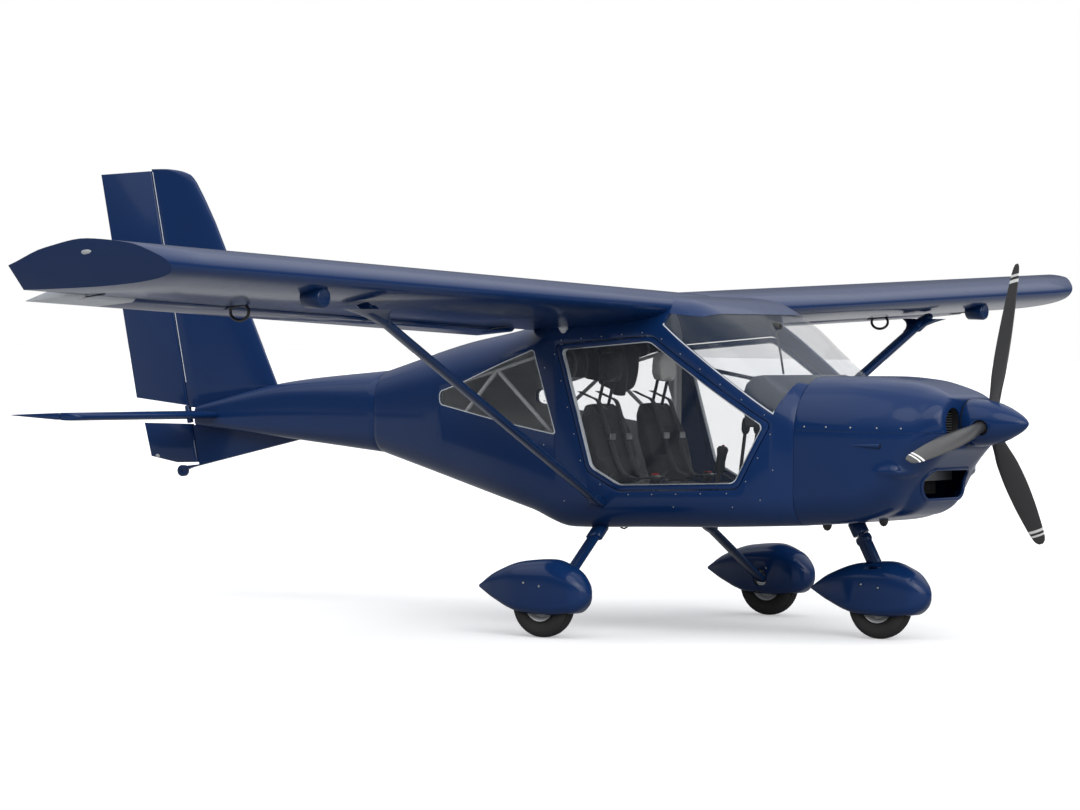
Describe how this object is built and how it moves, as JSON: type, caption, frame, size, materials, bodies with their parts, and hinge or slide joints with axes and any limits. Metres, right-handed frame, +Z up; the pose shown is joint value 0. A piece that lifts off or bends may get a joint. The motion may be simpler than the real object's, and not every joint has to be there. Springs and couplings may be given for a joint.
{
  "type": "two-seat high-wing microlight aircraft",
  "caption": "High-wing strut-braced microlight aircraft with a glazed cabin, fixed tricycle gear in wheel fairings, tractor propeller and full-span flaperons.",
  "frame": {"origin": "on the ground, under the middle of the overall length and width", "axes": "+X towards the nose, +Y to port, +Z up"},
  "size_m": [6.365, 9.5438, 2.569],
  "materials": {
    "blue_composite": "gloss",
    "blue_covering": "gloss",
    "blue_alloy": "gloss",
    "clear_glazing": "gloss",
    "tyre_rubber": "matte",
    "bare_alloy": "satin",
    "steel": "satin",
    "seat_cloth": "matte",
    "black_plastic": "matte",
    "blade_composite": "satin"
  },
  "bodies": {
    "airframe": {"cabin_shell": "blue_composite", "cabin_floor": "bare_alloy", "firewall": "bare_alloy", "windscreen": "clear_glazing", "rear_window_left": "clear_glazing", "rear_window_right": "clear_glazing", "tail_boom": "blue_alloy", "cowl_upper": "blue_composite", "cowl_lower": "blue_composite", "engine": "bare_alloy", "wing_left": "blue_covering", "wing_right": "blue_covering", "flaperon_brackets_left": "blue_alloy", "flaperon_brackets_right": "blue_alloy", "strut_left": "blue_alloy", "strut_right": "blue_alloy", "fin": "blue_covering", "ventral_fin": "blue_covering", "stabiliser_left": "blue_covering", "stabiliser_right": "blue_covering", "gear_leg_left": "blue_alloy", "gear_leg_right": "blue_alloy", "main_axle_left": "steel", "main_axle_right": "steel", "main_spat_left": "blue_composite", "main_spat_right": "blue_composite", "nose_socket": "blue_composite", "seat_left": "seat_cloth", "seat_right": "seat_cloth", "instrument_panel": "black_plastic", "control_stick": "black_plastic"},
    "propeller": {"spinner": "blue_composite", "propeller_blades": "blade_composite"},
    "wheel_left": {"main_tyre_left": "tyre_rubber", "main_rim_left": "bare_alloy"},
    "wheel_right": {"main_tyre_right": "tyre_rubber", "main_rim_right": "bare_alloy"},
    "nose_leg": {"nose_fork": "blue_alloy", "nose_axle": "steel", "nose_spat": "blue_composite"},
    "nose_wheel": {"nose_tyre": "tyre_rubber", "nose_rim": "bare_alloy"},
    "door_left": {"door_frame_left": "blue_composite", "door_glass_left": "clear_glazing"},
    "door_right": {"door_frame_right": "blue_composite", "door_glass_right": "clear_glazing"},
    "rudder": {"rudder_upper": "blue_covering", "rudder_lower": "blue_covering"},
    "elevator": {"elevator_left": "blue_covering", "elevator_right": "blue_covering", "elevator_tube": "steel"},
    "flaperon_left": {"flaperon_left": "blue_covering"},
    "flaperon_right": {"flaperon_right": "blue_covering"}
  },
  "joints": [
    {"name": "propeller_spin", "type": "hinge", "parent": "airframe", "child": "propeller", "pos_m": [2.955, 0, 1.163], "axis": [1, 0, 0], "continuous": true},
    {"name": "wheel_left_spin", "type": "hinge", "parent": "airframe", "child": "wheel_left", "pos_m": [0.919, 1.139, 0.18], "axis": [0, 1, 0], "continuous": true},
    {"name": "wheel_right_spin", "type": "hinge", "parent": "airframe", "child": "wheel_right", "pos_m": [0.919, -1.139, 0.18], "axis": [0, 1, 0], "continuous": true},
    {"name": "rudder_hinge", "type": "hinge", "parent": "airframe", "child": "rudder", "pos_m": [-2.4045, 0, 0.785], "axis": [-0.2139, 0, 0.9769], "range_deg": [-25, 25]},
    {"name": "nose_steering", "type": "hinge", "parent": "airframe", "child": "nose_leg", "pos_m": [2.15, 0, 0.62], "axis": [-0.4795, 0, 0.8776], "range_deg": [-20, 20]},
    {"name": "nose_wheel_spin", "type": "hinge", "parent": "nose_leg", "child": "nose_wheel", "pos_m": [2.31, 0, 0.18], "axis": [0, 1, 0], "continuous": true},
    {"name": "door_left_hinge", "type": "hinge", "parent": "airframe", "child": "door_left", "pos_m": [0.636, 0.644, 1.547], "axis": [0.9962, 0, 0.0876], "range_deg": [0, 80]},
    {"name": "door_right_hinge", "type": "hinge", "parent": "airframe", "child": "door_right", "pos_m": [0.636, -0.644, 1.547], "axis": [-0.9962, 0, -0.0876], "range_deg": [0, 80]},
    {"name": "elevator_hinge", "type": "hinge", "parent": "airframe", "child": "elevator", "pos_m": [-2.405, 0, 1.1], "axis": [0, 1, 0], "range_deg": [-15, 25]},
    {"name": "flaperon_left_hinge", "type": "hinge", "parent": "airframe", "child": "flaperon_left", "pos_m": [0.372, 0.69, 1.6405], "axis": [0, 0.9992, 0.0389], "range_deg": [-20, 20]},
    {"name": "flaperon_right_hinge", "type": "hinge", "parent": "airframe", "child": "flaperon_right", "pos_m": [0.372, -0.69, 1.6405], "axis": [0, 0.9992, -0.0389], "range_deg": [-20, 20]}
  ],
  "couplings": [
    {"joint": "nose_steering", "follows": "rudder_hinge", "ratio": -0.8}
  ]
}
